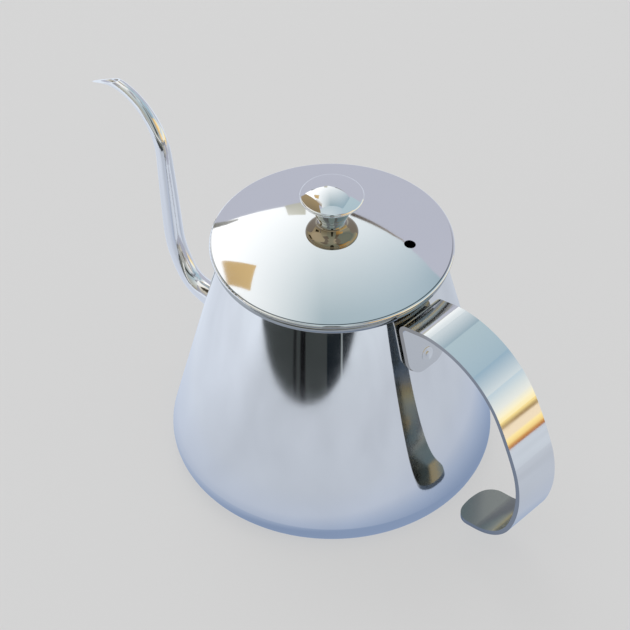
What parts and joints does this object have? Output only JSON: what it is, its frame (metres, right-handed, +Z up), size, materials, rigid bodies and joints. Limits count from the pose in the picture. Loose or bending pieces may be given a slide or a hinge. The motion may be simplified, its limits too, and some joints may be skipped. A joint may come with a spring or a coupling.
{
  "type": "gooseneck kettle",
  "caption": "Conical stainless steel pour-over kettle with a thin gooseneck spout, a bent strip handle and a lift-off domed lid with a knob.",
  "frame": {"origin": "centre of the base, on the surface that it stands on", "axes": "+X towards the spout, -X towards the handle, +Z up"},
  "size_m": [0.2334, 0.126, 0.1258],
  "materials": {
    "body_steel": "fine satin polish",
    "spout_steel": "polished",
    "handle_steel": "polished",
    "lid_steel": "mirror polish",
    "inner_steel": "as rolled",
    "fastener_steel": "plain"
  },
  "bodies": {
    "kettle": {"body_shell": "body_steel", "base_plate": "body_steel", "spout_tube": "spout_steel", "handle_strip": "handle_steel"},
    "lid": {"lid_dome": "lid_steel", "lid_skirt": "inner_steel", "knob_cap": "lid_steel", "knob_stem": "lid_steel", "knob_insert": "fastener_steel", "knob_screw": "fastener_steel", "knob_washer": "fastener_steel", "knob_lock_washer": "fastener_steel"}
  },
  "joints": [
    {"name": "lid_lift", "type": "slide", "parent": "kettle", "child": "lid", "axis": [0, 0, 1], "range_m": [0, 0.08]}
  ]
}
